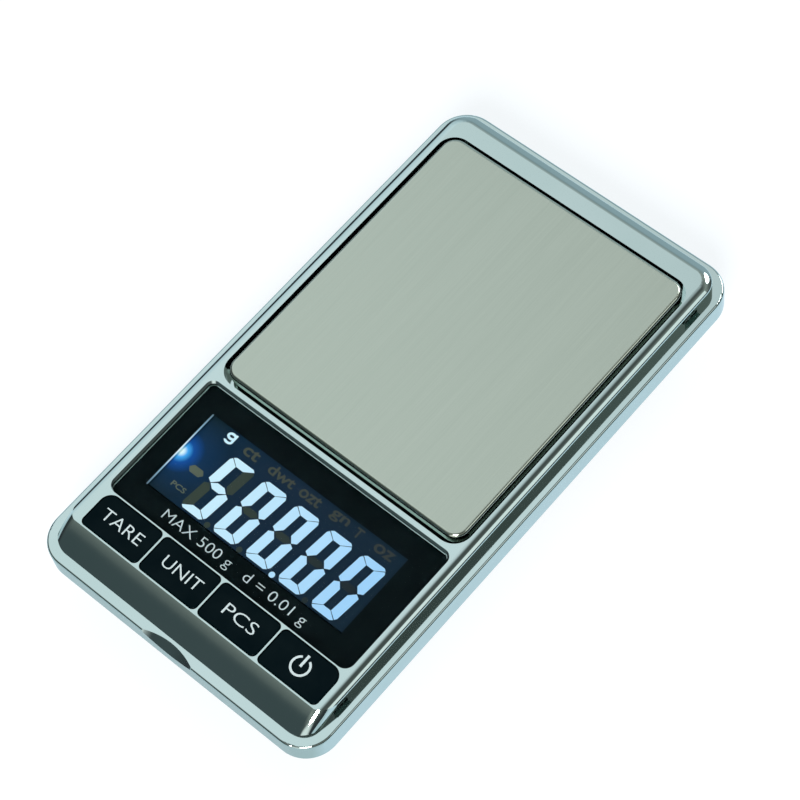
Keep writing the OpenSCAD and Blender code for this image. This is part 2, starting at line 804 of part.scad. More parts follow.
// Circuit board, drilled for the housing screws and its own screws
module main_board() {
    y_low = y_keys - key_flange;
    color("darkgreen")
        difference() {
            span_box([-board_half_w, y_low, z_board], [board_half_w, y_well + fit, z_board_top]);
            for (sx = [-1, 1]) {
                translate([sx * screw_x, screw_y_front, z_board - over])
                    cylinder(d = screw_d + 4 * fit, h = 2 * over);
                translate([sx * board_screw_x, board_screw_y, z_board - over])
                    cylinder(d = board_screw_d + 4 * fit, h = 2 * over);
            }
        }
}

// Capacitors, converter chip and crystal in a row on the board's underside, behind the bay
module board_components() {
    y_row = (y_bay + bay_out_l / 2 + y_well) / 2;
    x_caps = post_r + component_gap - screw_x;
    x_chip = x_caps + 2 * (cap_d + component_gap);
    x_crystal = x_chip + chip_w + component_gap;
    color("dimgray") {
        for (i = [0, 1])
            translate([x_caps + cap_d / 2 + i * (cap_d + component_gap), y_row, z_board - cap_h])
                cylinder(d = cap_d, h = cap_h);
        span_box([x_chip, y_row - chip_l / 2, z_board - chip_h],
            [x_chip + chip_w, y_row + chip_l / 2, z_board]);
        span_box([x_crystal, y_row - crystal_l / 2, z_board - crystal_h],
            [x_crystal + crystal_w, y_row + crystal_l / 2, z_board]);
    }
}

// Rubber mat with a dome under each key
module key_mat() {
    color("gainsboro") {
        span_box([-window_w / 2, y_keys, z_board_top], [window_w / 2, y_key_back, mat_top]);
        for (i = [0 : key_n - 1])
            translate([key_x(i), y_key_mid, mat_top - eps])
                cylinder(r1 = dome_r, r2 = plunger_r + dome_land, h = dome_h + eps);
    }
}

// Key i: a cap with a rounded edge, a retaining flange and a plunger
module key(i) {
    z_cap = z_key_flange + key_flange_t - eps;
    color("black")
        translate([key_x(i), y_key_mid, 0]) {
            corner_block(key_w - 2 * key_gap, key_l - 2 * key_gap, key_radii(i, key_gap),
                z_cap, z_cover + key_proud, key_edge);
            translate([0, 0, z_key_flange + key_flange_t / 2])
                cube([key_w - 2 * key_r_end, key_l - 2 * (key_gap - key_flange), key_flange_t],
                    center = true);
            translate([0, 0, z_plunger])
                cylinder(r = plunger_r, h = z_key_flange - z_plunger + eps);
        }
}

// Pressed steel pan with a turned-down skirt
module weighing_pan() {
    color("silver")
        translate([0, y_pan_mid, 0])
            difference() {
                soft_block(pan_w, pan_l, pan_r, z_pan - pan_skirt, z_pan, pan_edge_r);
                round_block(pan_w - 2 * pan_t, pan_l - 2 * pan_t, pan_r - pan_t,
                    z_pan - pan_skirt - over, z_pan - pan_t);
            }
}

// Plastic carrier that joins the pan to the beam's free end
module pan_carrier() {
    room = pan_t + fit;
    color("darkslategray")
        difference() {
            union() {
                translate([0, y_pan_mid, 0])
                    round_block(pan_w - 2 * room, pan_l - 2 * room, pan_r - room, z_carrier, z_pan - pan_t);
                for (i = [0 : rib_n - 1])
                    translate([0, y_pan_mid + (i - (rib_n - 1) / 2) * rib_pitch, z_carrier - carrier_rib / 2])
                        cube([pan_w - 2 * rib_end, rib_w, carrier_rib + eps], center = true);
                for (sx = [-1, 1])
                    translate([sx * rib_x, y_pan_mid, z_carrier - carrier_rib / 2])
                        cube([rib_w, pan_l - 2 * rib_end, carrier_rib + eps], center = true);
                span_box([-stem_w / 2, y_beam, z_beam_top], [stem_w / 2, y_beam + stem_l, z_carrier + eps]);
            }
            for (y = free_screws)
                translate([0, y, pan_screw_seat])
                    mirror([0, 0, 1])
                        screw_bore(cell_screw_d, over + z_pan, cell_screw_head_d, z_pan);
        }
}

module pan_screws() {
    color("gray")
        for (y = free_screws)
            translate([0, y, pan_screw_seat])
                mirror([0, 0, 1])
                    screw_up(cell_screw_d, pan_screw_l, cell_screw_head_d, screw_head_h);
}

// Bending beam with a double-hole cut-out and tapped ends
module load_cell() {
    z_mid = z_beam + beam_h / 2;
    color("gainsboro")
        difference() {
            span_box([-beam_w / 2, y_beam, z_beam], [beam_w / 2, y_beam + beam_l, z_beam_top]);
            for (s = [-1, 1])
                translate([0, y_pan_mid + s * beam_hole_pitch / 2, z_mid])
                    rotate([0, 90, 0])
                        cylinder(d = beam_hole_d, h = 2 * beam_w, center = true);
            translate([0, y_pan_mid, z_mid])
                cube([2 * beam_w, beam_hole_pitch, beam_slot_h], center = true);
            for (y = concat(free_screws, fixed_screws))
                translate([0, y, z_beam - over])
                    cylinder(d = cell_screw_d + 2 * fit, h = beam_h + 2 * over);
        }
}

// Foil gauges over the thin webs, above and below
module strain_gauges() {
    color("peru")
        for (s = [-1, 1], z = [z_beam - gauge_t / 2, z_beam_top + gauge_t / 2])
            translate([0, y_pan_mid + s * beam_hole_pitch / 2, z])
                cube([gauge_w, gauge_l, gauge_t], center = true);
}

module load_cell_screws() {
    color("gray")
        for (y = fixed_screws)
            translate([0, y, cell_screw_seat])
                screw_up(cell_screw_d, load_cell_screw_l, cell_screw_head_d, screw_head_h);
}

// Middle direction of a route at point i
function route_dir(points, i) =
    let (back = i > 0 ? points[i] - points[i - 1] : points[1] - points[0])
    let (ahead = i < len(points) - 1 ? points[i + 1] - points[i] : back)
    let (sum = back / norm(back) + ahead / norm(ahead))
    sum / norm(sum);

// Ring of points round a route at point i, square to its direction
function route_ring(points, i) =
    let (dir = route_dir(points, i))
    let (side = cross(dir, abs(dir[2]) < 0.9 ? [0, 0, 1] : [0, -1, 0]))
    let (u = side / norm(side))
    let (v = cross(dir, u))
    [for (k = [0 : wire_sides - 1])
        points[i] + wire_d / 2 * (cos(k * 360 / wire_sides) * u + sin(k * 360 / wire_sides) * v)];

// Wire swept along a list of points
module wire(points) {
    n = len(points);
    rings = [for (i = [0 : n - 1]) each route_ring(points, i)];
    sides = [for (i = [0 : n - 2], k = [0 : wire_sides - 1])
        let (a = i * wire_sides + k)
        let (b = i * wire_sides + (k + 1) % wire_sides)
        each [[a, a + wire_sides, b + wire_sides], [a, b + wire_sides, b]]];
    first = [for (k = [0 : wire_sides - 1]) k];
    last = [for (k = [wire_sides - 1 : -1 : 0]) (n - 1) * wire_sides + k];
    polyhedron(rings, concat(sides, [first, last]));
}

// Four wires from the gauges along the beam and up to the board's back edge
module load_cell_wires() {
    pitch = wire_d + wire_gap;
    z_run = z_beam + beam_h / 2;
    y_pad = y_well + fit - wire_edge;
    color("firebrick")
        for (i = [0 : wire_n - 1]) {
            x_run = beam_w / 2 + wire_side + i * pitch;
            y_start = y_pan_mid + (i - (wire_n - 1) / 2) * pitch;
            wire([
                [beam_w / 2, y_start, z_run], [x_run, y_start - wire_side, z_run],
                [x_run, y_pad + wire_bend, z_run], [x_run, y_pad + wire_bend / 3, z_run + wire_bend / 3],
                [x_run, y_pad, z_run + wire_bend], [x_run, y_pad, z_board]
            ]);
        }
}

// Set screw under the beam's free end that stops an overload
module overload_screw() {
    color("gray")
        translate([0, y_overload, z_inside])
            cylinder(d = cell_screw_d, h = z_beam - overload_gap - z_inside);
}

// Lower housing: tapered tub with the battery bay, screw posts and the beam's pedestal
module bottom_housing() {
    tunnel_l = bay_l + 2 * tongue;
    color("dimgray")
        difference() {
            union() {
                difference() {
                    tub_outside();
                    tub_inside();
                }
                span_box([-bay_w / 2 - bay_wall, y_bay - bay_out_l / 2, z_inside - eps],
                    [bay_w / 2 + bay_wall, y_bay + bay_out_l / 2, z_roof + roof_t]);
                intersection() {
                    tub_outside();
                    union() {
                        for (sx = [-1, 1]) {
                            translate([sx * screw_x, screw_y_front, z_inside - eps])
                                cylinder(r = post_r, h = z_board - z_inside + eps);
                            translate([sx * screw_x, screw_y_rear, z_inside - eps])
                                cylinder(r = post_r, h = z_post_rear - z_inside + eps);
                        }
                    }
                }
                span_box([-pedestal_w / 2, y_beam + beam_l - stem_l, z_inside - eps],
                    [pedestal_w / 2, y_beam + beam_l + pedestal_side, z_beam]);
                translate([0, y_overload, z_inside - eps])
                    cylinder(d = cell_screw_d + 2 * (fit + boss_wall), h = overload_boss_h);
            }
            // Bay, open downwards to the door
            span_box([-bay_w / 2, y_bay - bay_l / 2, z_floor - over],
                [bay_w / 2, y_bay + bay_l / 2, z_roof]);
            // Way out for the door, with a lip under its tongues
            span_box([-bay_w / 2, y_bay - bay_l / 2, z_floor - over],
                [body_w, y_bay + bay_l / 2, groove_top]);
            span_box([-bay_w / 2, y_bay - tunnel_l / 2, z_floor + lip_t],
                [body_w, y_bay + tunnel_l / 2, groove_top]);
            for (spot = screw_spots)
                translate([spot[0], screw_y(spot[1]), screw_seat(spot[1])])
                    screw_bore(screw_d, screw_l + over, screw_head_d, screw_l + over);
            for (y = fixed_screws)
                translate([0, y, cell_screw_seat])
                    screw_bore(cell_screw_d, z_beam, cell_screw_head_d, over);
            translate([0, y_overload, z_inside])
                cylinder(d = cell_screw_d + 2 * fit, h = over);
            for (sx = [-1, 1], sy = [-1, 1])
                translate([sx * foot_x, sy * foot_y, z_floor - over])
                    cylinder(d = foot_d + 2 * fit, h = over + foot_recess);
        }
}

// Sliding battery door with side tongues and grip grooves
module battery_door() {
    door_l = bay_l - 2 * slide_fit;
    color("dimgray")
        difference() {
            intersection() {
                tub_outside();
                union() {
                    span_box([-bay_w / 2 + slide_fit, y_bay - door_l / 2, z_floor],
                        [body_w, y_bay + door_l / 2, z_inside]);
                    span_box([-bay_w / 2 + slide_fit, y_bay - door_l / 2 - tongue,
                        z_floor + lip_t + slide_fit], [body_w, y_bay + door_l / 2 + tongue, z_inside]);
                }
            }
            for (i = [0 : grip_n - 1])
                translate([tub_bottom_w / 2 - grip_in - i * grip_pitch, y_bay, z_floor])
                    cube([grip_w, grip_l, 2 * grip_depth], center = true);
        }
}

// Cell on X with its button towards +X, centred
module cell() {
    can_l = cell_l - cell_button_h;
    translate([-cell_l / 2, 0, 0])
        rotate([0, 90, 0])
            rotate_extrude()
                polygon([
                    [0, 0], [cell_d / 2 - cell_bevel, 0], [cell_d / 2, cell_bevel],
                    [cell_d / 2, can_l - cell_bevel], [cell_d / 2 - cell_bevel, can_l],
                    [cell_button_d / 2, can_l], [cell_button_d / 2, cell_l], [0, cell_l]
                ]);
}

module battery_cells() {
    color("goldenrod") {
        translate([0, y_bay - cell_pitch / 2, z_cell])
            cell();
        translate([0, y_bay + cell_pitch / 2, z_cell])
            mirror([1, 0, 0])
                cell();
    }
}

// Contact at the bay's +X end: a plate on the wall and a leaf bent towards the cell
module contact(y) {
    leaf_h = cell_d / 2 - leaf_in;
    tip = bay_w / 2 - contact_room + fit;
    root = bay_w / 2 - fit - contact_t;
    inner_h = leaf_h - 2 * contact_t;
    translate([0, y + contact_w / 2, z_cell])
        rotate([90, 0, 0])
            linear_extrude(contact_w)
                difference() {
                    polygon([
                        [root, -leaf_h], [bay_w / 2 - fit, -leaf_h], [bay_w / 2 - fit, leaf_h],
                        [root, leaf_h], [tip, contact_t], [tip, -contact_t]
                    ]);
                    polygon([[root, -inner_h], [root, inner_h], [tip + contact_t, 0]]);
                }
}

module contact_bridge() {
    color("gainsboro")
        mirror([1, 0, 0]) {
            for (s = [-1, 1])
                contact(y_bay + s * cell_pitch / 2);
            span_box([bay_w / 2 - fit - contact_t, y_bay - cell_pitch / 2, z_cell - contact_w / 4],
                [bay_w / 2 - fit, y_bay + cell_pitch / 2, z_cell + contact_w / 4]);
        }
}

module contact_positive() {
    color("gainsboro")
        contact(y_bay - cell_pitch / 2);
}

module contact_negative() {
    color("gainsboro")
        contact(y_bay + cell_pitch / 2);
}

// Four feet with a softened rim
module rubber_feet() {
    top = z_floor + foot_recess - fit / 2;
    color("black")
        for (sx = [-1, 1], sy = [-1, 1])
            translate([sx * foot_x, sy * foot_y, 0])
                rotate_extrude()
                    polygon([
                        [0, 0], [foot_d / 2 - foot_bevel, 0], [foot_d / 2, foot_bevel],
                        [foot_d / 2, top], [0, top]
                    ]);
}

module housing_screws() {
    color("gray")
        for (spot = screw_spots)
            translate([spot[0], screw_y(spot[1]), screw_seat(spot[1])])
                screw_up(screw_d, screw_l, screw_head_d, screw_head_h);
}

module board_screws() {
    color("gray")
        for (sx = [-1, 1])
            translate([sx * board_screw_x, board_screw_y, z_board])
                screw_up(board_screw_d, z_ledge - z_board - 3 * fit, board_screw_head_d, board_screw_head_h);
}

top_cover();
display_window();
lcd_panel();
lcd_frame();
backlight_guide();
backlight_led();
zebra_strip();
main_board();
board_components();
key_mat();
for (i = [0 : key_n - 1])
    key(i);
weighing_pan();
pan_carrier();
pan_screws();
load_cell();
strain_gauges();
load_cell_screws();
load_cell_wires();
overload_screw();
bottom_housing();
battery_door();
battery_cells();
contact_bridge();
contact_positive();
contact_negative();
rubber_feet();
housing_screws();
board_screws();
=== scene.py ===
import json
import math

import bmesh
import bpy
from mathutils import Matrix, Vector


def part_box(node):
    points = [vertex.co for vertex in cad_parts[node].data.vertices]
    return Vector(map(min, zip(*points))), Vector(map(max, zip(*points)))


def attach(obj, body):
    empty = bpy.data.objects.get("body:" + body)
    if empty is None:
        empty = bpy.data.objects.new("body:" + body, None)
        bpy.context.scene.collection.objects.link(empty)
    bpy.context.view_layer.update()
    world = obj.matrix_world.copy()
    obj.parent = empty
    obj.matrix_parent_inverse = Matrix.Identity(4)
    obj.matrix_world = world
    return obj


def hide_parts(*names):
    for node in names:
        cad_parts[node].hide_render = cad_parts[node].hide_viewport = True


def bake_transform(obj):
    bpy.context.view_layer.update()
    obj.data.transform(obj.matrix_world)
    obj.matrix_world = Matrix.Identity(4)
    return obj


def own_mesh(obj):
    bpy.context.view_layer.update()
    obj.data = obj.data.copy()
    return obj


MM = 0.001

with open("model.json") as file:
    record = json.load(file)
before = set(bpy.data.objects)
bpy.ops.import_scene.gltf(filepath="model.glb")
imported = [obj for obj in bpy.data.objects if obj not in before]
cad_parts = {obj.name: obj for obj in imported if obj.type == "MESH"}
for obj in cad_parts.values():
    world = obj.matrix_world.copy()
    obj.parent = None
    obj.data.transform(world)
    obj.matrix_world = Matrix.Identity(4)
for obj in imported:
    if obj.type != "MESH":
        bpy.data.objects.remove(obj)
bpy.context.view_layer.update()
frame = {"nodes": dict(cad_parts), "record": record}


# Sizes of the display, its window and the key signs, read off the photo in the part's own frame

VIEW_LOW = Vector((-24.28, -38.95)) * MM
VIEW_HIGH = Vector((23.03, -21.06)) * MM
VIEW_EDGE_W = 0.3 * MM
GLOW_SPOT = Vector((-24.2, -29.9)) * MM
GLOW_REACH = 9 * MM
EDGE_GLOW_REACH = 10 * MM

DIGITS = "50000"
LIT_BARS = {"5": "afgcd", "0": "abcdef"}
DIGIT_TOP = -24.65 * MM
DIGIT_H = 13.45 * MM
DIGIT_W = 5.8 * MM
DIGIT_FIRST = -15.87 * MM
DIGIT_PITCH = 7.89 * MM
DIGIT_SLANT = math.tan(math.radians(5.2))
STROKE_X = 2.0 * MM
STROKE_Y = 1.5 * MM
MITRE_GAP = 0.07 * MM
POINT_FIRST = -10.2 * MM
POINT_Y = -37.96 * MM
POINT_R = 0.6 * MM
POINT_LIT = 2

# Shares of a stroke: where a bar's point lies, how far it reaches, and how a digit's corners are cut
WAIST = 0.45
NOSE = 0.75
CORNER_X = 0.45
CORNER_Y = 0.3
CORNER_SIDE = 0.35

MINUS_PLACE = (-19.15 * MM, -31.26 * MM)
MINUS_HALF_W = 1.7 * MM
MINUS_HALF_H = 0.78 * MM
MINUS_NOSE = 0.65 * MM
GRAM_PLACE = (-18.76 * MM, -22.5 * MM)
PIECES_PLACE = (-19.5 * MM, -35.6 * MM)
PIECES_SIZE = (3.3 * MM, 1.1 * MM)

# Text, middle in x, width and height of each unit name, in millimetres
UNITS = [("ct", -13.5, 3.5, 2.1), ("dwt", -6.0, 6.1, 2.2), ("ozt", 0.85, 4.8, 2.1),
         ("gn", 7.8, 4.1, 2.1), ("T", 12.4, 1.7, 2.0), ("oz", 18.4, 4.4, 1.8)]
UNIT_Y = -22.35 * MM

CAPTION = "MAX 500 g   d = 0.01 g"
CAPTION_PLACE = (-0.37 * MM, -41.52 * MM)
CAPTION_SIZE = (34.3 * MM, 2.73 * MM)

# Key, text, middle in x and width of each word, in millimetres
LABELS = [("tare", "TARE", -21.02, 9.5), ("unit", "UNIT", -6.23, 8.9), ("pieces", "PCS", 7.87, 7.4)]
LABEL_Y = -48.18 * MM
LABEL_H = 2.35 * MM
POWER_X = 22.0 * MM
POWER_R = 1.78 * MM
POWER_STROKE = 0.44 * MM
POWER_ARC = (118, 422)
POWER_BAR_HALF = 0.26 * MM
POWER_BAR_FROM = -0.1 * MM
POWER_BAR_TO = 2.4 * MM

# How much the outlines of letters grow, as a share of the letter size
LABEL_THIN = -0.008
CAPTION_THIN = -0.01
UNIT_BOLD = 0.02


# Other sizes of the scene's own pieces

INK = 0.01 * MM
WELD = 0.0005 * MM
LETTER_STEPS = 4

# The print ends a little inside the window's edges and corners
PRINT_MARGIN = 0.1 * MM
PRINT_FRONT_R = 1.4 * MM
PRINT_BACK_R = 1.1 * MM

# Span of the cross in the heads of each group of screws
DRIVE_SPANS = (("housing_screws", 2.0 * MM), ("load_cell_screws", 2.2 * MM))
DRIVE_W = 0.45 * MM

# The key mat's pads: their order and the gap between two
KEYS = ("tare", "unit", "pieces", "power")
PAD_GAP = 0.05 * MM

# Stretches into which the beam is cut
FLEX_STEPS = 8

lcd_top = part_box("lcd_panel")[1].z
window_low, window_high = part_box("display_window")


# Node helpers

SOCKETS = {
    "color": "Base Color",
    "metallic": "Metallic",
    "roughness": "Roughness",
    "normal": "Normal",
    "specular": "Specular IOR Level",
    "ior": "IOR",
    "transmission": "Transmission Weight",
    "glow": "Emission Strength",
    "glow_color": "Emission Color",
}

# A mix node's sockets for colours, which share their names with its other kinds
MIX_A = 6
MIX_B = 7
MIX_RESULT = 2

# Most values of a noise lie between these two
GRAIN_LOW = 0.3
GRAIN_HIGH = 0.7


def new_material(name, **constants):
    """A principled material with the constants on the shader's own sockets, and its tree."""
    material = bpy.data.materials.new(name)
    material.use_nodes = True
    shader = material.node_tree.nodes["Principled BSDF"]
    for key, value in constants.items():
        shader.inputs[SOCKETS[key]].default_value = value
    return material, material.node_tree


def feed(tree, **sources):
    """Join outputs to sockets of the principled shader."""
    shader = tree.nodes["Principled BSDF"]
    for key, source in sources.items():
        tree.links.new(source, shader.inputs[SOCKETS[key]])


def put(tree, value, socket):
    """Join an output to a socket, or set the socket to a constant."""
    if isinstance(value, bpy.types.NodeSocket):
        tree.links.new(value, socket)
    else:
        socket.default_value = value


def add_node(tree, kind, **inputs):
    """A new node with some inputs joined or set by their names."""
    node = tree.nodes.new(kind)
    for key, value in inputs.items():
        put(tree, value, node.inputs[key])
    return node


def object_coords(tree):
    return tree.nodes.new("ShaderNodeTexCoord").outputs["Object"]


def coordinate(tree, vector, axis):
    return add_node(tree, "ShaderNodeSeparateXYZ", Vector=vector).outputs[axis]


def vector_value(tree, operation, vector, constant):
    """The value that a vector operation gives for a vector and a constant one."""
    node = tree.nodes.new("ShaderNodeVectorMath")
    node.operation = operation
    tree.links.new(vector, node.inputs[0])
    node.inputs[1].default_value = constant
    return node.outputs["Value"]


def calculate(tree, operation, first, second):
    node = tree.nodes.new("ShaderNodeMath")
    node.operation = operation
    put(tree, first, node.inputs[0])
    put(tree, second, node.inputs[1])
    return node.outputs["Value"]


def grain(tree, scale, stretch=(1, 1, 1), detail=3.0):
    """Noise over the object's own metres, stretched along the axes with small factors."""
    mapping = add_node(tree, "ShaderNodeMapping", Vector=object_coords(tree), Scale=stretch)
    noise = add_node(tree, "ShaderNodeTexNoise", Vector=mapping.outputs["Vector"], Scale=scale,
                     Detail=detail)
    return noise.outputs["Fac"]


def remap(tree, value, low, high, to_low=0.0, to_high=1.0, kind="LINEAR"):
    node = add_node(tree, "ShaderNodeMapRange", Value=value)
    node.interpolation_type = kind
    node.inputs["From Min"].default_value = low
    node.inputs["From Max"].default_value = high
    node.inputs["To Min"].default_value = to_low
    node.inputs["To Max"].default_value = to_high
    return node.outputs["Result"]


def ramp(tree, value, *stops):
    """Colour ramp through stops of (place, (r, g, b))."""
    node = add_node(tree, "ShaderNodeValToRGB", Fac=value)
    elements = node.color_ramp.elements
    while len(elements) < len(stops):
        elements.new(0.5)
    for element, (place, color) in zip(elements, stops):
        element.position = place
        element.color = (*color, 1)
    return node.outputs["Color"]


def color_mix(tree, factor, first, second, blend_type="MIX"):
    node = tree.nodes.new("ShaderNodeMix")
    node.data_type = "RGBA"
    node.blend_type = blend_type
    put(tree, factor, node.inputs["Factor"])
    put(tree, first, node.inputs[MIX_A])
    put(tree, second, node.inputs[MIX_B])
    return node.outputs[MIX_RESULT]


def bumps(tree, height, depth):
    node = add_node(tree, "ShaderNodeBump", Height=height, Strength=1.0, Distance=depth)
    return node.outputs["Normal"]


def nearness(tree, place, reach):
    """1 at a place, falling to 0 at a distance from it."""
    distance = vector_value(tree, "DISTANCE", object_coords(tree), place)
    return remap(tree, distance, 0, reach, 1, 0)


def surface(name, dark, light, rough, scale, stretch=(1, 1, 1), relief=0.0, **constants):
    """Two close tones and a range of roughness over one grain, with a little relief."""
    material, tree = new_material(name, **constants)
    fac = grain(tree, scale, stretch)
    feed(tree, color=ramp(tree, fac, (GRAIN_LOW, dark), (GRAIN_HIGH, light)),
         roughness=remap(tree, fac, GRAIN_LOW, GRAIN_HIGH, *rough))
    if relief:
        feed(tree, normal=bumps(tree, fac, relief))
    return material


def lit_material(name):
    """A black material that gives its own light, whose colour is still to be fed."""
    return new_material(name, color=(0, 0, 0, 1), roughness=0.6, specular=0.1, glow=1.0)


def glowing(name, left, right, x_left, x_right):
    """Lit marks whose colour runs from left to right across the display."""
    material, tree = lit_material(name)
    along = remap(tree, coordinate(tree, object_coords(tree), "X"), x_left, x_right)
    feed(tree, glow_color=ramp(tree, along, (0, left), (1, right)))
    return material


# Materials

def chrome():
    """Mirror chrome with a faint change of tone, wiped smears and slight waves."""
    material, tree = new_material("chrome_cover", metallic=1.0)
    tone = grain(tree, 60, detail=2.0)
    smear = grain(tree, 900, (1, 0.15, 1), detail=5.0)
    waves = grain(tree, 220, detail=2.0)
    feed(tree, color=ramp(tree, tone, (GRAIN_LOW, (0.56, 0.685, 0.665)),
                          (GRAIN_HIGH, (0.60, 0.715, 0.70))),
         roughness=remap(tree, smear, 0.35, 0.75, 0.03, 0.11),
         normal=bumps(tree, waves, 0.004 * MM))
    return material


def brushed_pan():
    """Steel brushed along the pan's length, smoother where the edge turns down."""
    material, tree = new_material("pan_steel", metallic=1.0)
    brush = grain(tree, 9000, (1, 0.012, 1), detail=4.0)
    broad = grain(tree, 900, (1, 0.03, 1), detail=2.0)
    tone = calculate(tree, "ADD", remap(tree, brush, 0.25, 0.75, 0.0, 0.6),
                     remap(tree, broad, 0.25, 0.75, 0.0, 0.4))
    facing = tree.nodes.new("ShaderNodeTexCoord").outputs["Normal"]
    flat = remap(tree, coordinate(tree, facing, "Z"), 0.90, 0.995, 0.30, 1.0)
    feed(tree, color=ramp(tree, tone, (0.1, (0.515, 0.565, 0.483)), (0.9, (0.585, 0.635, 0.547))),
         roughness=calculate(tree, "MULTIPLY", remap(tree, tone, 0.1, 0.9, 0.28, 0.38), flat),
         normal=bumps(tree, brush, 0.0015 * MM))
    return material


def clear_window():
    """Clear acrylic; its low index keeps rare reflections from speckling the black print."""
    material, tree = new_material("window", transmission=1.0, ior=1.02, roughness=0.0)
    feed(tree, color=ramp(tree, grain(tree, 90, detail=2.0), (GRAIN_LOW, (0.93, 0.96, 0.96)),
                          (GRAIN_HIGH, (0.97, 0.99, 0.99))))
    return material


def display_glass():
    """Dark blue glass, lit from the lamp at its left end and dimmer to the right."""
    material, tree = new_material("display_glass", color=(0.002, 0.004, 0.008, 1), roughness=0.3,
                                  specular=0.04, glow=1.0)
    along = remap(tree, coordinate(tree, object_coords(tree), "X"), VIEW_LOW.x, VIEW_HIGH.x)
    field = ramp(tree, along, (0.0, (0.005, 0.015, 0.020)), (0.15, (0.0045, 0.019, 0.040)),
                 (0.4, (0.007, 0.019, 0.038)), (1.0, (0.006, 0.017, 0.029)))
    glow = ramp(tree, nearness(tree, (*GLOW_SPOT, lcd_top), GLOW_REACH), (0.0, (0, 0, 0)),
                (0.5, (0.0, 0.010, 0.042)), (0.74, (0.001, 0.055, 0.29)), (0.86, (0.05, 0.38, 0.85)),
                (0.94, (0.7, 0.92, 1.0)), (1.0, (0.92, 0.99, 1.0)))
    feed(tree, glow_color=color_mix(tree, 1.0, field, glow, "ADD"))
    return material


def edge_glow():
    """The left edge of the view in the window print, brightest beside the lamp."""
    material, tree = lit_material("edge_light")
    near = nearness(tree, (*GLOW_SPOT, lcd_top), EDGE_GLOW_REACH)
    feed(tree, glow_color=ramp(tree, near, (0.0, (0.10, 0.16, 0.21)), (0.5, (0.24, 0.42, 0.55)),
                               (1.0, (0.8, 0.95, 1.0))))
    return material


MATERIALS = {
    "chrome_cover": chrome(),
    "window": clear_window(),
    "display_glass": display_glass(),
    "white_plastic": surface("white_plastic", (0.80, 0.80, 0.77), (0.88, 0.88, 0.86), (0.45, 0.6),
                             700, relief=0.004 * MM),
    "light_guide": surface("light_guide", (0.80, 0.88, 0.95), (0.88, 0.94, 0.99), (0.1, 0.2), 500,
                           transmission=0.6, ior=1.49),
    "led": surface("led", (0.90, 0.88, 0.70), (0.96, 0.95, 0.85), (0.2, 0.35), 2000),
    "grey_rubber": surface("grey_rubber", (0.38, 0.38, 0.38), (0.48, 0.48, 0.48), (0.75, 0.9), 900,
                           relief=0.006 * MM),
    "circuit_board": surface("circuit_board", (0.02, 0.13, 0.05), (0.04, 0.22, 0.09), (0.3, 0.5),
                             350, (1, 0.2, 1)),
    "chip_plastic": surface("chip_plastic", (0.035, 0.035, 0.035), (0.06, 0.06, 0.06), (0.5, 0.7),
                            1500, relief=0.004 * MM),
    "key_black": surface("key_black", (0.001, 0.005, 0.007), (0.003, 0.008, 0.010), (0.10, 0.18),
                         200, specular=0.02),
    "pan_steel": brushed_pan(),
    "dark_plastic": surface("dark_plastic", (0.035, 0.036, 0.038), (0.06, 0.061, 0.064),
                            (0.5, 0.68), 2200, relief=0.012 * MM),
    "screw_steel": surface("screw_steel", (0.48, 0.48, 0.49), (0.62, 0.62, 0.63), (0.25, 0.4), 1500,
                           metallic=1.0),
    "beam_aluminium": surface("beam_aluminium", (0.68, 0.69, 0.70), (0.80, 0.81, 0.82), (0.3, 0.45),
                              2500, (1, 0.05, 1), metallic=1.0),
    "gauge_foil": surface("gauge_foil", (0.45, 0.22, 0.06), (0.62, 0.36, 0.13), (0.4, 0.55), 2500),
    "wire_insulation": surface("wire_insulation", (0.45, 0.04, 0.03), (0.62, 0.08, 0.06),
                               (0.45, 0.6), 900),
    "cell_can": surface("cell_can", (0.48, 0.49, 0.51), (0.62, 0.63, 0.65), (0.3, 0.45), 400,
                        (0.1, 1, 1), metallic=0.7),
    "contact_nickel": surface("contact_nickel", (0.68, 0.66, 0.61), (0.80, 0.78, 0.73), (0.18, 0.32),
                              1200, metallic=1.0),
    "foot_rubber": surface("foot_rubber", (0.02, 0.02, 0.02), (0.04, 0.04, 0.04), (0.75, 0.9), 1500,
                           relief=0.01 * MM),
}

for entry in frame["record"]["subparts"]:
    node = frame["nodes"][entry["node"]]
    node.data.materials.clear()
    node.data.materials.append(MATERIALS[entry["material_slot"]])

black_print = surface("black_print", (0.0025, 0.0055, 0.0065), (0.004, 0.0085, 0.0095), (0.5, 0.7),
                      200, specular=0.02)
white_print = surface("white_print", (0.62, 0.72, 0.74), (0.72, 0.82, 0.84), (0.5, 0.6), 1500)
lit_marks = glowing("lit_marks", (0.62, 0.88, 1.0), (0.36, 0.66, 0.97), -16 * MM, 20 * MM)
faint_marks = glowing("faint_marks", (0.041, 0.059, 0.045), (0.013, 0.021, 0.027), -20 * MM,
                      20 * MM)
unit_marks = glowing("unit_marks", (0.060, 0.071, 0.052), (0.034, 0.041, 0.039), -16 * MM,
                     20 * MM)
sign_marks = glowing("sign_marks", (0.102, 0.127, 0.093), (0.090, 0.115, 0.083), -21 * MM, -17 * MM)
edge_light = edge_glow()
# Painted shade that stands for the inside of the screws' cross recesses
drive_shade = surface("drive_shade", (0.02, 0.02, 0.02), (0.05, 0.05, 0.05), (0.5, 0.7), 3000,
                      metallic=0.6)


# Outlines of flat marks, as lists of (x, y)

def rectangle(x0, y0, x1, y1):
    return [(x0, y0), (x1, y0), (x1, y1), (x0, y1)]


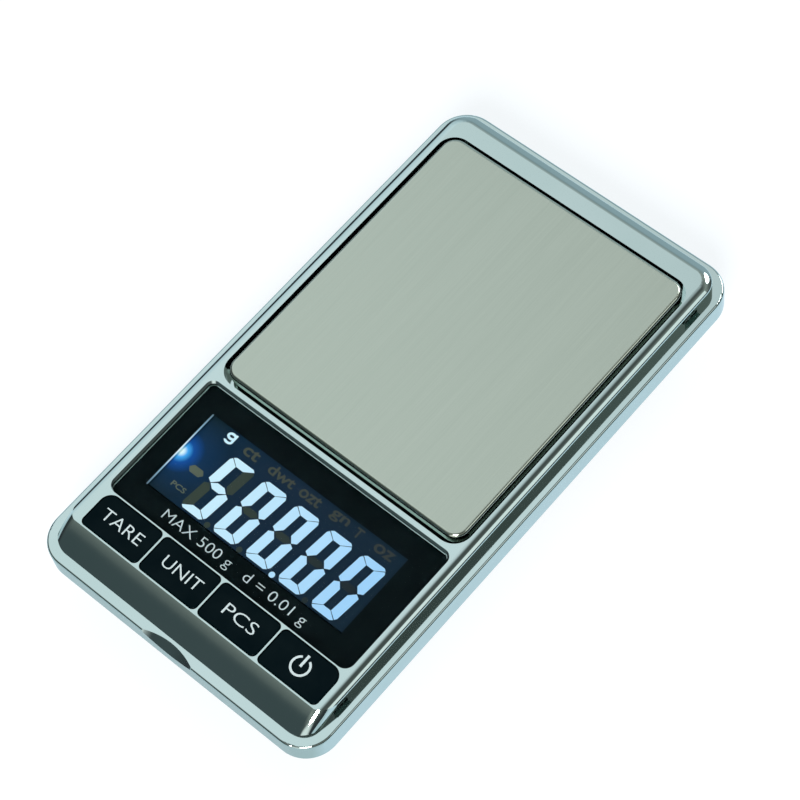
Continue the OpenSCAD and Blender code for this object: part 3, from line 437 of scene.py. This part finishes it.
def rounded(x0, y0, x1, y1, r_front, r_back, steps=8):
    """A plate with its own corner radius at the front and at the back."""
    corners = [(x1 - r_front, y0 + r_front, r_front, -90), (x1 - r_back, y1 - r_back, r_back, 0),
               (x0 + r_back, y1 - r_back, r_back, 90), (x0 + r_front, y0 + r_front, r_front, 180)]
    points = []
    for cx, cy, r, start in corners:
        for i in range(steps + 1):
            a = math.radians(start + 90 * i / steps)
            points.append((cx + r * math.cos(a), cy + r * math.sin(a)))
    return points


def disc(cx, cy, radius, steps=24):
    turns = (2 * math.pi * i / steps for i in range(steps))
    return [(cx + radius * math.cos(a), cy + radius * math.sin(a)) for a in turns]


def arc_band(cx, cy, radius, width, start, end, steps=40, squash=1.0):
    """A band of even width along an arc; squash flattens the arc."""
    points = []
    for side, order in ((width / 2, range(steps + 1)), (-width / 2, range(steps, -1, -1))):
        for i in order:
            a = math.radians(start + (end - start) * i / steps)
            points.append((cx + (radius + side) * math.cos(a),
                           cy + (radius * squash + side) * math.sin(a)))
    return points


def pointed_bar(cx, cy, half_w, half_h, nose):
    """A flat bar with a blunt point at each end."""
    flat = half_w - nose
    return [(cx - half_w, cy), (cx - flat, cy - half_h), (cx + flat, cy - half_h),
            (cx + half_w, cy), (cx + flat, cy + half_h), (cx - flat, cy + half_h)]


def cross(cx, cy, span, width):
    half, w = span / 2, width / 2
    return [(cx - w, cy - half), (cx + w, cy - half), (cx + w, cy - w), (cx + half, cy - w),
            (cx + half, cy + w), (cx + w, cy + w), (cx + w, cy + half), (cx - w, cy + half),
            (cx - w, cy + w), (cx - half, cy + w), (cx - half, cy - w), (cx - w, cy - w)]


def segment_outlines():
    """The seven bars of one upright digit, bottom left corner at the origin."""
    w, h, tx, ty, g = DIGIT_W, DIGIT_H, STROKE_X, STROKE_Y, MITRE_GAP
    mid, waist, nose = h / 2, WAIST * tx, NOSE * ty
    cx, cy = CORNER_X * tx, CORNER_Y * ty
    side = CORNER_SIDE * cx
    upper_left = [(0, mid + nose / 2), (waist, mid + g), (tx, mid + nose + g), (tx, h - ty - g),
                  (side, h - cy - g), (0, h - 2 * cy - g)]
    top = [(side + g, h - cy + g), (cx, h), (w - cx, h), (w - side - g, h - cy + g),
           (w - tx - g, h - ty), (tx + g, h - ty)]
    middle = [(waist + 2 * g, mid), (tx + g, mid - ty / 2), (w - tx - g, mid - ty / 2),
              (w - waist - 2 * g, mid), (w - tx - g, mid + ty / 2), (tx + g, mid + ty / 2)]

    def across(outline):
        return [(w - x, y) for x, y in reversed(outline)]

    def below(outline):
        return [(x, h - y) for x, y in reversed(outline)]

    return {"a": top, "d": below(top), "g": middle, "f": upper_left, "b": across(upper_left),
            "e": below(upper_left), "c": below(across(upper_left))}


def placed(outline, left):
    """A digit's bar, slanted and moved to its place on the display."""
    bottom = DIGIT_TOP - DIGIT_H
    return [(left + x - (DIGIT_H - y) * DIGIT_SLANT, bottom + y) for x, y in outline]


def letter_g(cx, cy):
    """A plain single-storey g in three outlines, on the middle of its box."""
    reach, stroke, half = 0.76 * MM, 0.5 * MM, 1.21 * MM
    bowl_h, tail_h = 0.5 * MM, 0.45 * MM
    bowl_arc, tail_arc, tail_steps = (8, 352), (195, 360), 20
    top = cy + half
    tail_y = cy - half + stroke / 2 + tail_h
    stem = cx + reach
    bowl_y = top - bowl_h - stroke / 2
    return [arc_band(cx, bowl_y, reach, stroke, *bowl_arc, squash=bowl_h / reach),
            rectangle(stem - stroke / 2, tail_y - 2 * INK, stem + stroke / 2, top),
            arc_band(cx, tail_y, reach, stroke, *tail_arc, tail_steps, tail_h / reach)]


# Mesh helpers

def linked(name, mesh, material):
    obj = bpy.data.objects.new(name, mesh)
    bpy.context.scene.collection.objects.link(obj)
    mesh.materials.append(material)
    return obj


def make_object(name, mesh, material, body):
    obj = linked(name, mesh, material)
    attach(obj, body)
    return obj


def mesh_from(bm, name):
    mesh = bpy.data.meshes.new(name)
    bm.normal_update()
    bm.to_mesh(mesh)
    bm.free()
    return mesh


def prisms(name, outlines, z_lows, thickness):
    """A mesh of flat prisms on closed outlines, at one height or one each."""
    bm = bmesh.new()
    if not isinstance(z_lows, list):
        z_lows = [z_lows] * len(outlines)
    for outline, z_low in zip(outlines, z_lows):
        low = [bm.verts.new((x, y, z_low)) for x, y in outline]
        high = [bm.verts.new((x, y, z_low + thickness)) for x, y in outline]
        bm.faces.new(high)
        bm.faces.new(list(reversed(low)))
        for i in range(len(outline)):
            j = (i + 1) % len(outline)
            bm.faces.new((low[i], low[j], high[j], high[i]))
    return mesh_from(bm, name)


def open_plate(name, outer, hole, z_low, thickness):
    """A flat plate with a four-cornered hole, its top and bottom in two faces that meet at seams."""
    bm = bmesh.new()
    # The seams run from two opposite corners of the outline to the same corners of the hole
    first = len(outer) // 8
    last = first + len(outer) // 2
    rims, gaps = [], []
    for z, turned in ((z_low, True), (z_low + thickness, False)):
        rim = [bm.verts.new((x, y, z)) for x, y in outer]
        gap = [bm.verts.new((x, y, z)) for x, y in hole]
        for face in (rim[first:last + 1] + [gap[3], gap[2], gap[1]],
                     rim[last:] + rim[:first + 1] + [gap[1], gap[0], gap[3]]):
            bm.faces.new(list(reversed(face)) if turned else face)
        rims.append(rim)
        gaps.append(gap[::-1])
    for low, high in (rims, gaps):
        for i in range(len(low)):
            j = (i + 1) % len(low)
            bm.faces.new((low[i], low[j], high[j], high[i]))
    return mesh_from(bm, name)


def words_mesh(name, words, center, size, z_low, thin):
    """Words as a flat mesh with the given outline size, centred on a place."""
    curve = bpy.data.curves.new(name, "FONT")
    curve.body = words
    curve.offset = thin
    curve.extrude = 0.5
    curve.resolution_u = LETTER_STEPS
    obj = bpy.data.objects.new(name + "_curve", curve)
    bpy.context.scene.collection.objects.link(obj)
    graph = bpy.context.evaluated_depsgraph_get()
    mesh = bpy.data.meshes.new_from_object(obj.evaluated_get(graph))
    bpy.data.objects.remove(obj)
    bpy.data.curves.remove(curve)
    lows = [min(v.co[axis] for v in mesh.vertices) for axis in range(3)]
    highs = [max(v.co[axis] for v in mesh.vertices) for axis in range(3)]
    factors = [wanted / (high - low) for wanted, low, high in zip((*size, INK), lows, highs)]
    middle = Vector(((lows[0] + highs[0]) / 2, (lows[1] + highs[1]) / 2, lows[2]))
    scale = Matrix.Diagonal((*factors, 1))
    place = Matrix.Translation((*center, z_low))
    mesh.transform(place @ scale @ Matrix.Translation(-middle))
    bm = bmesh.new()
    bm.from_mesh(mesh)
    bpy.data.meshes.remove(mesh)
    bmesh.ops.remove_doubles(bm, verts=bm.verts[:], dist=WELD)
    bmesh.ops.recalc_face_normals(bm, faces=bm.faces[:])
    return mesh_from(bm, name)


def welded(node):
    """The mesh of a CAD node with its doubled corners joined, to work on."""
    bm = bmesh.new()
    bm.from_mesh(frame["nodes"][node].data)
    bmesh.ops.remove_doubles(bm, verts=bm.verts[:], dist=WELD)
    return bm


def cut(bm, place, toward, keep_both=False):
    """Cut across a place; unless both sides stay, the toward side goes and the cut is closed."""
    every = bm.verts[:] + bm.edges[:] + bm.faces[:]
    made = bmesh.ops.bisect_plane(bm, geom=every, plane_co=place, plane_no=toward,
                                  clear_outer=not keep_both)
    if not keep_both:
        rim = [part for part in made["geom_cut"] if isinstance(part, bmesh.types.BMEdge)]
        bmesh.ops.holes_fill(bm, edges=rim)


def head_places(node):
    """Middle of the lowest face of each screw in a node."""
    bm = welded(node)
    left = set(bm.verts)
    places = []
    while left:
        ahead, screw = [left.pop()], []
        while ahead:
            vert = ahead.pop()
            screw.append(vert.co)
            near = {edge.other_vert(vert) for edge in vert.link_edges} & left
            left -= near
            ahead.extend(near)
        z = min(co.z for co in screw)
        face = [co for co in screw if co.z < z + 2 * INK]
        xs, ys = [co.x for co in face], [co.y for co in face]
        places.append(((min(xs) + max(xs)) / 2, (min(ys) + max(ys)) / 2, z))
    bm.free()
    return sorted(places)


# Pieces: display marks, window print, key signs, screw drives, the key pads and the cut beam

def display_marks():
    """Seven-segment digits with their points, the minus sign and the unit names."""
    lit, faint = [], []
    for place, digit in enumerate(DIGITS):
        for letter, outline in segment_outlines().items():
            marks = lit if letter in LIT_BARS[digit] else faint
            marks.append(placed(outline, DIGIT_FIRST + place * DIGIT_PITCH))
    for place in range(len(DIGITS) - 1):
        marks = lit if place == POINT_LIT else faint
        marks.append(disc(POINT_FIRST + place * DIGIT_PITCH, POINT_Y, POINT_R))
    minus = [pointed_bar(*MINUS_PLACE, MINUS_HALF_W, MINUS_HALF_H, MINUS_NOSE)]
    z = lcd_top + INK
    for name, outlines, material in (("lcd_lit_digits", lit, lit_marks),
                                     ("lcd_faint_bars", faint, faint_marks),
                                     ("lcd_minus", minus, sign_marks),
                                     ("lcd_unit_g", letter_g(*GRAM_PLACE), lit_marks)):
        make_object(name, prisms(name, outlines, z, INK), material, "housing")
    for text, x, width, height in UNITS:
        name = "lcd_unit_" + text
        mesh = words_mesh(name, text, (x * MM, UNIT_Y), (width * MM, height * MM), z, UNIT_BOLD)
        make_object(name, mesh, unit_marks, "housing")
    pieces = words_mesh("lcd_pieces", "PCS", PIECES_PLACE, PIECES_SIZE, z, UNIT_BOLD)
    make_object("lcd_pieces", pieces, sign_marks, "housing")


def window_print():
    """Black print on the back of the window, open over the display, with the caption in it."""
    x0, y0 = window_low.x + PRINT_MARGIN, window_low.y + PRINT_MARGIN
    x1, y1 = window_high.x - PRINT_MARGIN, window_high.y - PRINT_MARGIN
    z = window_low.z + INK
    view = rectangle(*VIEW_LOW, *VIEW_HIGH)
    outline = rounded(x0, y0, x1, y1, PRINT_FRONT_R, PRINT_BACK_R)
    plate = open_plate("window_print", outline, view, z, INK)
    make_object("window_print", plate, black_print, "housing")
    edge = rectangle(VIEW_LOW.x, VIEW_LOW.y, VIEW_LOW.x + VIEW_EDGE_W, VIEW_HIGH.y)
    make_object("window_edge_light", prisms("window_edge_light", [edge], z, INK), edge_light,
                "housing")
    caption = words_mesh("window_caption", CAPTION, CAPTION_PLACE, CAPTION_SIZE, z + 2 * INK,
                         CAPTION_THIN)
    make_object("window_caption", caption, white_print, "housing")


def key_labels():
    """A word on three keys and the power sign on the fourth, just above the keys' tops."""
    for key, text, x, width in LABELS:
        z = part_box("key_" + key)[1].z + INK / 2
        name = "key_" + key + "_label"
        mesh = words_mesh(name, text, (x * MM, LABEL_Y), (width * MM, LABEL_H), z, LABEL_THIN)
        make_object(name, mesh, white_print, key + "_key")
    outlines = [arc_band(POWER_X, LABEL_Y, POWER_R, POWER_STROKE, *POWER_ARC),
                rectangle(POWER_X - POWER_BAR_HALF, LABEL_Y + POWER_BAR_FROM,
                          POWER_X + POWER_BAR_HALF, LABEL_Y + POWER_BAR_TO)]
    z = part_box("key_power")[1].z + INK / 2
    mesh = prisms("key_power_label", outlines, z, INK)
    make_object("key_power_label", mesh, white_print, "power_key")


def screw_drives():
    """Cross recesses, as flat marks of painted shade on the heads that show underneath."""
    for node, span in DRIVE_SPANS:
        places = head_places(node)
        outlines = [cross(x, y, span, DRIVE_W) for x, y, _ in places]
        name = node + "_drives"
        mesh = prisms(name, outlines, [z - INK for _, _, z in places], INK)
        make_object(name, mesh, drive_shade, "housing")


def key_pads():
    """The rubber mat in one pad for each key."""
    boxes = [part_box("key_" + key) for key in KEYS]
    joins = [(a[1].x + b[0].x) / 2 for a, b in zip(boxes, boxes[1:])]
    for key, left, right in zip(KEYS, [None] + joins, joins + [None]):
        bm = welded("key_mat")
        if left is not None:
            cut(bm, (left + PAD_GAP / 2, 0, 0), (-1, 0, 0))
        if right is not None:
            cut(bm, (right - PAD_GAP / 2, 0, 0), (1, 0, 0))
        name = "key_mat_" + key
        pad = make_object(name, mesh_from(bm, name), MATERIALS["grey_rubber"], "housing")
        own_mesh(pad)
        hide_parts("key_mat")


def bending_beam():
    """The beam and its gauges, cut across in stretches along the gauges' length."""
    low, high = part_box("strain_gauges")
    # The gauges end at the first and the last cut, so only the beam gets these two
    for node, slot, cuts in (("load_cell", "beam_aluminium", range(FLEX_STEPS + 1)),
                             ("strain_gauges", "gauge_foil", range(1, FLEX_STEPS))):
        bm = welded(node)
        for i in cuts:
            cut(bm, (0, low.y + (high.y - low.y) * i / FLEX_STEPS, 0), (0, 1, 0), keep_both=True)
        name = node + "_bending"
        obj = linked(name, mesh_from(bm, name), MATERIALS[slot])
        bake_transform(obj)
        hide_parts(node)


display_marks()
window_print()
key_labels()
screw_drives()
key_pads()
bending_beam()


# Studio: floor, light from all round, two soft lamps and the photo's camera

FLOOR_SIZE = 8.0
FLOOR_THICK = 2 * MM
FLOOR_PAINT = (0.84, 0.89, 0.94, 1)
FLOOR_SEEN = (0.97, 0.99, 1.0, 1)
FLOOR_SEEN_GLOW = 1.25
# Share of plain light in what the camera and the chrome see of the floor
FLOOR_SHARE = 0.62

# Painted reflection: what the chrome sees of the floor glows darker in front of the part than under
# and behind it
FRONT_FADE = (-62 * MM, -56 * MM)
PAINTED_REFLECTION_FRONT = (0.42, 0.58, 0.63)
PAINTED_REFLECTION_BACK = (0.66, 0.86, 1.0)

# Elevation in degrees, and the colour there
SKY_STOPS = [(0, (0.05, 0.06, 0.07)), (9, (0.03, 0.037, 0.04)), (24, (0.06, 0.07, 0.07)),
             (38, (0.15, 0.165, 0.155)), (52, (0.33, 0.35, 0.32)), (64, (0.09, 0.10, 0.095)),
             (90, (0.09, 0.10, 0.095))]

# Direction of a card, the angles round it that end its even middle and its soft edge, and its
# colour; a later card covers an earlier one, and the last one is dark
CARDS = [((-0.74, 0.30, 0.60), 14, 24, (0.74, 0.86, 0.92)),
         ((-0.43, 0.09, 0.90), 8, 34, (0.87, 0.95, 0.98)),
         ((0.60, 0.30, 0.742), 9, 12, (1.0, 1.05, 1.03)),
         ((-0.38, 0.90, 0.20), 18, 44, (0.37, 0.47, 0.52)),
         ((0.40, -0.86, 0.30), 10, 30, (1.0, 1.02, 1.0)),
         ((-0.382, -0.81, 0.44), 6, 30, (0.066, 0.088, 0.092))]

# Name, place, width in metres, power in watts and colour of each lamp
LAMPS = [("key_light", (0.47, -0.68, 0.81), 0.4, 9.0, (1.0, 0.99, 0.97)),
         ("fill_light", (0.10, 0.95, 0.75), 0.5, 3.0, (0.96, 0.98, 1.0))]

PHOTO_FOCAL_PX = 2559.2
PHOTO_SIZE_PX = 800
PHOTO_OFFSET_PX = (10.68, 11.115)
PHOTO_TARGET = Vector((0, 0, 16.8)) * MM
PHOTO_DISTANCE = 466.1 * MM
PHOTO_AZIMUTH = math.radians(52.01)
PHOTO_ELEVATION = math.radians(61.0)
PHOTO_ROLL = math.radians(-12.5)
SENSOR_MM = 36.0
CLIP_START = 0.01


def floor():
    """A painted floor that looks nearly white to the camera, with a painted bluish reflection of it in
    the chrome.
    """
    half = FLOOR_SIZE / 2
    mesh = prisms("studio_floor", [rectangle(-half, -half, half, half)], -FLOOR_THICK, FLOOR_THICK)
    material = bpy.data.materials.new("studio_floor")
    material.use_nodes = True
    tree = material.node_tree
    tree.nodes.clear()
    # Painted reflection: glossy rays see this glow, darker in front of the part, instead of the lit
    # floor
    ahead = remap(tree, coordinate(tree, object_coords(tree), "Y"), *FRONT_FADE)
    shade = ramp(tree, ahead, (0, PAINTED_REFLECTION_FRONT), (1, PAINTED_REFLECTION_BACK))
    paint = add_node(tree, "ShaderNodeBsdfDiffuse", Color=FLOOR_PAINT)
    seen = add_node(tree, "ShaderNodeEmission", Color=FLOOR_SEEN, Strength=FLOOR_SEEN_GLOW)
    painted_reflection = add_node(tree, "ShaderNodeEmission", Color=shade)
    path = tree.nodes.new("ShaderNodeLightPath")
    shader = paint.outputs["BSDF"]
    for ray, light in (("Is Camera Ray", seen), ("Is Transmission Ray", seen),
                       ("Is Glossy Ray", painted_reflection)):
        share = calculate(tree, "MULTIPLY", path.outputs[ray], FLOOR_SHARE)
        mix = add_node(tree, "ShaderNodeMixShader", Fac=share)
        tree.links.new(shader, mix.inputs[1])
        tree.links.new(light.outputs["Emission"], mix.inputs[2])
        shader = mix.outputs["Shader"]
    add_node(tree, "ShaderNodeOutputMaterial", Surface=shader)
    linked("studio_floor", mesh, material)


def card(tree, around, direction, inner, outer):
    """1 inside a cone round a direction, falling to 0 at its outer angle."""
    dot = vector_value(tree, "DOT_PRODUCT", around, Vector(direction).normalized())
    edge, middle = (math.cos(math.radians(angle)) for angle in (outer, inner))
    return remap(tree, dot, edge, middle, kind="SMOOTHSTEP")


def sky():
    """A dark studio, lighter half way up, with bright and dark cards that the chrome mirrors."""
    world = bpy.data.worlds.new("studio")
    bpy.context.scene.world = world
    world.use_nodes = True
    tree = world.node_tree
    around = tree.nodes.new("ShaderNodeTexCoord").outputs["Generated"]
    stops = [(math.sin(math.radians(elevation)), color) for elevation, color in SKY_STOPS]
    shade = ramp(tree, coordinate(tree, around, "Z"), *stops)
    for direction, inner, outer, color in CARDS:
        shade = color_mix(tree, card(tree, around, direction, inner, outer), shade, (*color, 1))
    background = tree.nodes["Background"]
    background.inputs["Strength"].default_value = 1.0
    tree.links.new(shade, background.inputs["Color"])


def area_lamp(name, place, width, power, color):
    light = bpy.data.lights.new(name, "AREA")
    light.shape = "DISK"
    light.size = width
    light.energy = power
    light.color = color
    obj = bpy.data.objects.new(name, light)
    obj.location = place
    obj.rotation_euler = (PHOTO_TARGET - Vector(place)).to_track_quat("-Z", "Y").to_euler()
    bpy.context.scene.collection.objects.link(obj)


def camera():
    """The camera fitted to the photo: round the target, rolled, and aimed a little beside it."""
    back = Vector((math.sin(PHOTO_AZIMUTH) * math.cos(PHOTO_ELEVATION),
                   -math.cos(PHOTO_AZIMUTH) * math.cos(PHOTO_ELEVATION), math.sin(PHOTO_ELEVATION)))
    right = (-back).cross(Vector((0, 0, 1))).normalized()
    up = right.cross(-back)
    c, s = math.cos(PHOTO_ROLL), math.sin(PHOTO_ROLL)
    image_right = c * right + s * up
    image_up = -s * right + c * up
    aside, above = (offset / PHOTO_FOCAL_PX for offset in PHOTO_OFFSET_PX)
    look = (-back + image_right * aside + image_up * above).normalized()
    x_axis = look.cross(image_up).normalized()
    y_axis = x_axis.cross(look)
    data = bpy.data.cameras.new("photo_camera")
    data.sensor_width = SENSOR_MM
    data.lens = PHOTO_FOCAL_PX / PHOTO_SIZE_PX * SENSOR_MM
    data.clip_start = CLIP_START
    obj = bpy.data.objects.new("photo_camera", data)
    turn = Matrix((x_axis, y_axis, -look)).transposed().to_4x4()
    obj.matrix_world = Matrix.Translation(PHOTO_TARGET + back * PHOTO_DISTANCE) @ turn
    bpy.context.scene.collection.objects.link(obj)
    bpy.context.scene.camera = obj


floor()
sky()
for lamp in LAMPS:
    area_lamp(*lamp)
camera()
bpy.context.scene.view_settings.view_transform = "Standard"
